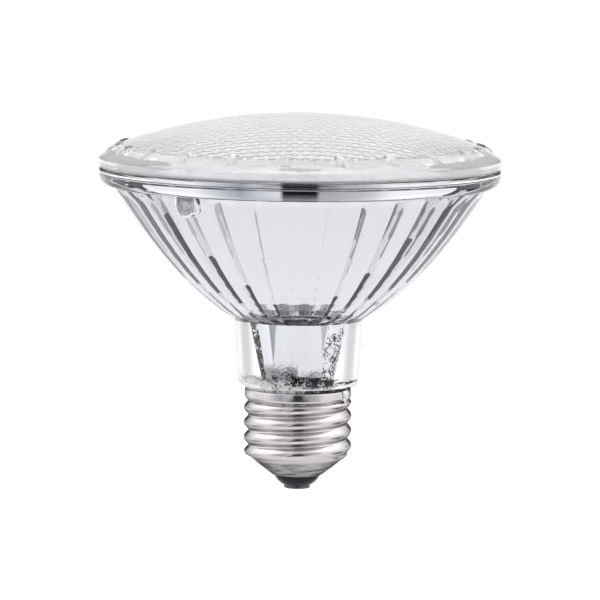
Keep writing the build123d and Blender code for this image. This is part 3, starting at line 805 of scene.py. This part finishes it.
class LAMP_OT_shell(bpy.types.Operator):
    """Builds the rolled screw shell with its round helical thread"""

    bl_idname = "lamp.shell"
    bl_label = "Screw shell"

    def execute(self, context):
        s = context.scene.lamp_cap
        columns, thread_rows, cone_rows = 192, 190, 16
        directions = np.linspace(0, 2 * math.pi, columns, endpoint=False)
        heights = np.linspace(s.thread_bottom - 0.0016, s.band_bottom + 0.0013, thread_rows)
        rows = []
        inner_nose = s.nose_radius - s.wall
        rows.append(ring(inner_nose, s.insulator_top + 0.0006, directions))
        rows.append(ring(inner_nose, s.insulator_top, directions))
        rows.append(ring(s.nose_radius - 0.0001, s.insulator_top, directions))
        for height in np.linspace(s.insulator_top + 0.0001, heights[0], cone_rows)[:-1]:
            rows.append(ring(self.radius(s, height, directions), height, directions))
        for height in heights:
            rows.append(ring(self.radius(s, height, directions), height, directions))
        for radius, height in arc((s.band_radius - s.lip, s.top - s.lip), s.lip, 0, 90, 8):
            rows.append(ring(radius, height, directions))
        rows.append(ring(s.band_radius - s.lip - s.wall / 2, s.top - s.wall / 2, directions))
        rows.append(ring(s.band_radius - s.lip - s.wall / 2, s.band_bottom + s.wall, directions))
        rows.append(ring(s.root_radius - s.wall, s.band_bottom, directions))
        rows.append(ring(s.root_radius - s.wall, s.thread_bottom, directions))
        verts, faces = sweep_grid(rows, closed_rows=True)
        material = self.nickel(s, context.scene.lamp_colours)
        piece = make_object("shell_rolled", verts, faces, [material], sharp=40)
        dress(piece, "screw_shell")
        return {"FINISHED"}

    def radius(self, s, height, directions):
        """Outer radius of the shell at a height, all round."""
        turn = directions - math.pi / 2
        phase = (height - s.crest_height) / s.pitch - turn / (2 * math.pi)
        soft = 0.03
        wave = np.sqrt(0.5 + 0.5 * np.cos(2 * math.pi * phase) + soft) - math.sqrt(soft)
        wave = wave / (math.sqrt(1 + soft) - math.sqrt(soft))
        start = np.clip((height - s.thread_bottom + s.lead_in) / s.lead_in_length, 0, 1)
        ridge = (s.crest_radius - s.root_radius) * wave * start
        rise = np.clip((height - s.insulator_top) / (s.thread_bottom - s.insulator_top), 0, 1)
        bow = 0.80 * rise + 0.20 * math.sin(rise * math.pi / 2)
        cone = s.nose_radius + (s.root_radius - s.nose_radius) * bow
        band = np.clip((height - s.band_bottom + s.band_lead) / s.band_lead_length, 0, 1)
        band = band * band * (3 - 2 * band)
        flare = s.root_radius + (s.band_radius - s.root_radius) * band
        body = np.minimum(cone, s.root_radius) + ridge * (1 - band)
        return np.maximum(body, flare) if height > s.thread_bottom else body

    def nickel(self, s, colours):
        """Bright nickel with fine drawing marks; on the cone it is rougher and streaked, and its dark colour
        there is painted shade, the dark reflection of the floor in the lamp's shadow.
        """
        material = metal_material("nickel_shell", colours.nickel, 0.10, grain=1400.0, bumps=0.04)
        tree = material.node_tree
        shader = tree.nodes["Principled BSDF"]
        shader.inputs["Specular Tint"].default_value = (*colours.nickel_edge, 1)
        height = position(tree)[2]
        cone = spread(tree, height, s.thread_bottom - 0.0004, s.thread_bottom - 0.0018, 0.0, 1.0)
        place = tree.nodes.new("ShaderNodeTexCoord")
        squeeze = tree.nodes.new("ShaderNodeMapping")
        squeeze.inputs["Scale"].default_value = (1.0, 1.0, 7.0)
        tree.links.new(place.outputs["Object"], squeeze.inputs["Vector"])
        streaks = tree.nodes.new("ShaderNodeTexNoise")
        streaks.inputs["Scale"].default_value = 170.0
        streaks.inputs["Detail"].default_value = 3.0
        tree.links.new(squeeze.outputs["Vector"], streaks.inputs["Vector"])
        # Painted shade on the cone, broken into streaks: the colour darkens to the cone colour, and the
        # roughness rises for the duller metal.
        dull = calculate(tree, "MULTIPLY", cone, spread(tree, streaks.outputs["Fac"], 0.36, 0.64, 1.0, 0.25))
        tint = blend_colour(tree, dull, colours.nickel, colours.cone)
        tree.links.new(tint, shader.inputs["Base Color"])
        tree.links.new(spread(tree, dull, 0.0, 1.0, 0.17, 0.28), shader.inputs["Roughness"])
        return material


class LAMP_OT_cap_trim(bpy.types.Operator):
    """Builds the insulator, the end contact and the solder of the cap, and gives the cement its material"""

    bl_idname = "lamp.cap_trim"
    bl_label = "Cap trim"

    def execute(self, context):
        s = context.scene.lamp_cap
        colours = context.scene.lamp_colours
        self.insulator(s, colours)
        self.contact(s, colours)
        self.solder(s, colours)
        coat("basing_cement", self.cement(colours))
        coat("lens_seal", dull_material("seal_bead", colours.seal, 0.6))
        return {"FINISHED"}

    def cement(self, colours):
        """Burnt cement in dark and pale patches, darker on the right."""
        material = dull_material("basing_cement", colours.cement, 0.85)
        tree = material.node_tree
        lean = calculate(tree, "MULTIPLY", position(tree)[0], 22.0)
        grains = calculate(tree, "ADD", noise(tree, 240.0, 3.0, 0.6), noise(tree, 1500.0, 2.0, 0.6))
        patches = spread(tree, calculate(tree, "ADD", grains, lean), 0.86, 1.06, 0.0, 1.0)
        tint = blend_colour(tree, patches, colours.pale_cement, colours.cement)
        tree.links.new(tint, tree.nodes["Principled BSDF"].inputs["Base Color"])
        return material

    def insulator(self, s, colours):
        """Black glass cone with a soft edge."""
        material, tree, shader = new_material("black_insulator")
        streaks = noise(tree, 700.0, 3.0)
        tint = blend_colour(tree, streaks, colours.insulator, shade(colours.insulator, 2.2))
        tree.links.new(tint, shader.inputs["Base Color"])
        shader.inputs["Roughness"].default_value = 0.12
        shader.inputs["Specular IOR Level"].default_value = 0.12
        bump(tree, shader, noise(tree, 350.0, 2.0), 0.25, 0.0002)
        low = (s.contact_radius + 0.0003, s.contact_thickness)
        profile = [(s.eyelet_radius, low[1]), (low[0] - 0.0002, low[1]), (low[0], low[1] + 0.0001)]
        high = (s.nose_radius - s.wall + 0.00005, s.insulator_top + 0.0001)
        for share in np.linspace(0.15, 1, 9):
            bow = 0.00035 * math.sin(share * math.pi)
            radius = low[0] + (high[0] - low[0]) * share + bow
            profile.append((radius, low[1] + (high[1] - low[1]) * share))
        profile += [(high[0], high[1] + 0.0004), (s.eyelet_radius, high[1] + 0.0004)]
        piece = turned_object("insulator_glass", profile, [material], 96, sharp=50)
        dress(piece, "shell_insulator")

    def contact(self, s, colours):
        """Round contact with a soft edge and a shallow dish."""
        material = metal_material("contact_metal", colours.contact, 0.3, grain=1200.0, bumps=0.15)
        edge = 0.0003
        profile = [(0.0000008, 0.0001), (0.0008, 0.0001), (0.0011, 0.0)]
        profile += [(s.contact_radius - edge, 0.0)]
        profile += arc((s.contact_radius - edge, edge), edge, -90, 0, 6)[1:]
        profile += [(s.contact_radius, s.contact_thickness), (s.eyelet_radius, s.contact_thickness)]
        piece = turned_object("contact_disc", profile, [material], 72, sharp=60)
        dress(piece, "centre_contact")

    def solder(self, s, colours):
        """Wrinkled drop on the band."""
        material = metal_material("solder", colours.solder, 0.16, grain=2500.0, bumps=0.5)
        steps = 24
        rows = []
        for i in range(steps + 1):
            share = max(i / steps, 1e-4)
            row = []
            for j in range(48):
                turn = 2 * math.pi * j / 48
                ripple = 1 + 0.10 * math.sin(3 * turn + 0.6) + 0.06 * math.sin(5 * turn + 2.0)
                along = s.solder_size * share * math.cos(turn) * ripple
                up = s.solder_size * share * math.sin(turn) * ripple * 0.95
                crown = math.sqrt(max(0.0, 1 - share**2))
                fold = 0.16 * math.sin(along * 9000 + 1.3) * math.sin(up * 7000 + 0.4) * crown
                proud = s.solder_proud * (crown * 0.85 + fold) - 0.00008 * share
                direction = s.solder_direction + along / s.band_radius
                row.append(ring(s.band_radius + proud, s.solder_height + up, np.array([direction]))[0])
            rows.append(row)
        verts, faces = sweep_grid(rows[::-1])
        piece = make_object("solder_drop", verts, faces, [material], sharp=60)
        dress(piece, "side_solder")
        coat("centre_solder", material)


class LAMP_OT_burner(bpy.types.Operator):
    """Builds the coil of the halogen capsule, and dresses the quartz capsule and what they are fixed to"""

    bl_idname = "lamp.burner"
    bl_label = "Halogen capsule"

    def execute(self, context):
        s = context.scene.lamp_burner
        colours = context.scene.lamp_colours
        self.coil(s, colours)
        quartz = glass_material("quartz", colours.lens, ior=1.46)
        ceramic = dull_material("ceramic_cement", colours.ceramic, 0.9, grain=900.0)
        wire = metal_material("lead_wire", colours.wire, 0.35)
        pin = metal_material("pin_metal", colours.tungsten, 0.3)
        foil = metal_material("seal_foil", colours.wire, 0.2)
        fuse = glass_material("fuse_glass", colours.lens)
        for node, material in (
            ("burner_envelope", quartz),
            ("burner_cement", ceramic),
            ("side_lead", wire),
            ("fuse_lead", wire),
            ("centre_lead", wire),
            ("lead_fuse", fuse),
            ("seal_foil_a", foil),
            ("seal_foil_b", foil),
            ("burner_pin_a", pin),
            ("burner_pin_b", pin),
            ("filament_leg_a", pin),
            ("filament_leg_b", pin),
        ):
            coat(node, material)
        return {"FINISHED"}

    def coil(self, s, colours):
        """Tungsten wire wound in close turns."""
        material = metal_material("tungsten", colours.tungsten, 0.4)
        steps = 20 * s.coil_turns
        mean = s.coil_radius - s.coil_wire
        rows = []
        for i in range(steps + 1):
            share = i / steps
            turn = 2 * math.pi * s.coil_turns * share
            out = Vector((math.cos(turn), math.sin(turn), 0))
            height = s.coil_bottom + s.coil_wire + share * (s.coil_length - 2 * s.coil_wire)
            centre = out * mean + Vector((0, 0, height))
            row = []
            for j in range(8):
                lean = 2 * math.pi * j / 8
                row.append(centre + (out * math.cos(lean) + Vector((0, 0, math.sin(lean)))) * s.coil_wire)
            rows.append(row)
        verts, faces = sweep_grid([[tuple(p) for p in row] for row in rows])
        piece = make_object("filament_coil", verts, faces, [material])
        dress(piece, "filament")


class LAMP_OT_stage(bpy.types.Operator):
    """Builds the floor, the cards, the light and the camera"""

    bl_idname = "lamp.stage"
    bl_label = "Stage"

    def execute(self, context):
        s = context.scene.lamp_stage
        colours = context.scene.lamp_colours
        self.world(context, s, colours)
        half = s.floor_size / 2
        corners = [(-half, -s.floor_front, s.floor_height), (half, -s.floor_front, s.floor_height)]
        corners += [(half, s.floor_size, s.floor_height), (-half, s.floor_size, s.floor_height)]
        floor = make_object("floor", corners, [(0, 1, 2, 3)], [self.floor_material(s, colours)])
        self.flag(s, "flag_left", -s.flag_start, -s.flag_end, s.flag_inner, colours.left_flag)
        self.flag(s, "flag_right", s.flag_start, s.flag_end, s.flag_inner, colours.flag)
        self.flag(s, "flag_front", -s.flag_front, s.flag_front, s.flag_front_inner, colours.flag)
        self.camera(context, s)
        return {"FINISHED"}

    def flag(self, s, name, start, end, inner, tint):
        """A dark flag on the floor round the lamp, which draws dark lines in its glass and metal."""
        steps = 16
        directions = np.linspace(start, end, steps + 1)
        height = s.floor_height + 0.002
        verts = np.vstack([ring(inner, height, directions), ring(s.flag_outer, height, directions)])
        faces = [(i, i + 1, i + steps + 2, i + steps + 1) for i in range(steps)]
        flag = make_object(name, verts, faces, [dull_material(name, tint, 0.9, 5.0)])
        flag.visible_camera = False
        flag.visible_diffuse = False

    def floor_material(self, s, colours):
        """Pale matt floor, white to the camera and, behind the lamp, in what metal and glass show."""
        material, tree, shader = new_material("floor")
        rays = tree.nodes.new("ShaderNodeLightPath")
        bent = calculate(tree, "MAXIMUM", rays.outputs["Is Glossy Ray"], rays.outputs["Is Transmission Ray"])
        behind = spread(tree, position(tree)[1], s.backdrop_start, s.backdrop_end, 0.0, 1.0)
        shown = calculate(tree, "MULTIPLY", bent, behind)
        seen = calculate(tree, "MAXIMUM", rays.outputs["Is Camera Ray"], shown)
        tint = blend_colour(tree, seen, colours.floor, colours.floor_seen)
        tree.links.new(tint, shader.inputs["Base Color"])
        shader.inputs["Roughness"].default_value = 0.9
        shader.inputs["Specular IOR Level"].default_value = 0.0
        return material

    def world(self, context, s, colours):
        """A studio round the lamp: dark behind the camera, soft grey beside it, white elsewhere."""
        world = bpy.data.worlds.new("studio")
        world.use_nodes = True
        tree = world.node_tree
        across, back, height = position(tree, "Generated")
        front = calculate(tree, "MULTIPLY", back, -1.0)
        turn = calculate(tree, "ARCTAN2", across, front)
        side = calculate(tree, "ABSOLUTE", turn)
        walls = tree.nodes.new("ShaderNodeValToRGB")
        self.fill_ramp(walls.color_ramp)
        tree.links.new(spread(tree, turn, -math.pi, math.pi, 0.0, 1.0), walls.inputs["Fac"])
        card = self.cards(tree, s, side, height)
        around = blend_colour(tree, card, walls.outputs["Color"], colours.card)
        beside = spread(tree, side, s.body_start, s.body_end, 0.0, 1.0)
        above = spread(tree, height, -0.12, -0.05, 0.0, 1.0)
        around = blend_colour(tree, calculate(tree, "MAXIMUM", beside, above), colours.body, around)
        top = spread(tree, front, 0.25, 0.85, s.ceiling, s.ceiling_front)
        around = blend_colour(tree, spread(tree, height, 0.14, 0.75, 0.0, 1.0), around, top)
        rays = tree.nodes.new("ShaderNodeLightPath")
        seen = blend_colour(tree, rays.outputs["Is Camera Ray"], around, (1.0, 1.0, 1.0))
        tree.links.new(seen, tree.nodes["Background"].inputs["Color"])
        tree.nodes["Background"].inputs["Strength"].default_value = 1.0
        context.scene.world = world
        context.scene.view_settings.view_transform = "Standard"

    def cards(self, tree, s, side, height):
        """Where the two dark cards stand that draw the lamp's edges, at and over the horizon."""
        soft = math.radians(3)
        begin = spread(tree, side, s.card_start - soft, s.card_start + soft, 0.0, 1.0)
        end = spread(tree, side, s.card_end - soft, s.card_end + soft, 1.0, 0.0)
        level = spread(tree, height, -0.15, -0.10, 0.0, 1.0)
        return calculate(tree, "MULTIPLY", calculate(tree, "MULTIPLY", begin, end), level)

    def fill_ramp(self, ramp):
        """Brightness of the studio's walls by direction from the camera, in degrees."""
        stops = (
            (-146, (1.0, 1.0, 1.0)),
            (-139, (0.68, 0.68, 0.69)),
            (-131, (0.68, 0.68, 0.69)),
            (-124, (1.0, 1.0, 1.0)),
            (-68, (1.0, 1.0, 1.0)),
            (-60, (0.78, 0.79, 0.82)),
            (-48, (0.55, 0.57, 0.63)),
            (-36, (0.38, 0.40, 0.46)),
            (-27, (0.62, 0.64, 0.69)),
            (-12, (0.86, 0.87, 0.90)),
            (-10.5, (0.006, 0.006, 0.008)),
            (10.5, (0.006, 0.006, 0.008)),
            (12, (0.44, 0.45, 0.48)),
            (36, (0.52, 0.53, 0.56)),
            (46, (0.66, 0.66, 0.68)),
            (58, (1.0, 1.0, 1.0)),
            (124, (1.0, 1.0, 1.0)),
            (131, (0.68, 0.68, 0.69)),
            (139, (0.68, 0.68, 0.69)),
            (146, (1.0, 1.0, 1.0)),
        )
        ramp.elements.remove(ramp.elements[1])
        for index, (angle, tint) in enumerate(stops):
            place = (angle + 180) / 360
            element = ramp.elements[0] if index == 0 else ramp.elements.new(place)
            element.position = place
            element.color = (*tint, 1)

    def camera(self, context, s):
        """Camera at the photograph's view."""
        data = bpy.data.cameras.new("camera")
        data.sensor_width = 36.0
        data.lens = s.focal
        data.clip_end = 100.0
        camera = bpy.data.objects.new("camera", data)
        place = Vector((0, -s.camera_distance, s.camera_height))
        aim = Vector((s.aim_side, 0, s.aim_height))
        turn = (aim - place).to_track_quat("-Z", "Y").to_matrix().to_4x4()
        camera.matrix_world = Matrix.Translation(place) @ turn @ Matrix.Rotation(s.roll, 4, "Z")
        context.scene.collection.objects.link(camera)
        context.scene.camera = camera


class LAMP_PT_panel(bpy.types.Panel):
    """Lists the lamp's operators in the sidebar"""

    bl_idname = "LAMP_PT_panel"
    bl_label = "Par spotlight bulb"
    bl_space_type = "VIEW_3D"
    bl_region_type = "UI"
    bl_category = "Lamp"

    def draw(self, context):
        for operator in OPERATORS:
            self.layout.operator(operator.bl_idname)


GROUPS = {
    "lamp_lens": LensSizes,
    "lamp_reflector": ReflectorSizes,
    "lamp_cap": CapSizes,
    "lamp_burner": BurnerSizes,
    "lamp_colours": LampColours,
    "lamp_stage": StageSettings,
}
OPERATORS = (LAMP_OT_lens, LAMP_OT_reflector, LAMP_OT_shell, LAMP_OT_cap_trim, LAMP_OT_burner, LAMP_OT_stage)


def register():
    """Registers the settings, the operators and the panel."""
    for name, group in GROUPS.items():
        bpy.utils.register_class(group)
        setattr(bpy.types.Scene, name, bpy.props.PointerProperty(type=group))
    for item in (*OPERATORS, LAMP_PT_panel):
        bpy.utils.register_class(item)


def unregister():
    """Takes back what register added."""
    for item in reversed((*OPERATORS, LAMP_PT_panel)):
        bpy.utils.unregister_class(item)
    for name, group in GROUPS.items():
        delattr(bpy.types.Scene, name)
        bpy.utils.unregister_class(group)


def main():
    """Builds every piece in order."""
    register()
    bpy.ops.lamp.lens()
    bpy.ops.lamp.reflector()
    bpy.ops.lamp.shell()
    bpy.ops.lamp.cap_trim()
    bpy.ops.lamp.burner()
    bpy.ops.lamp.stage()


if __name__ == "__main__":
    main()
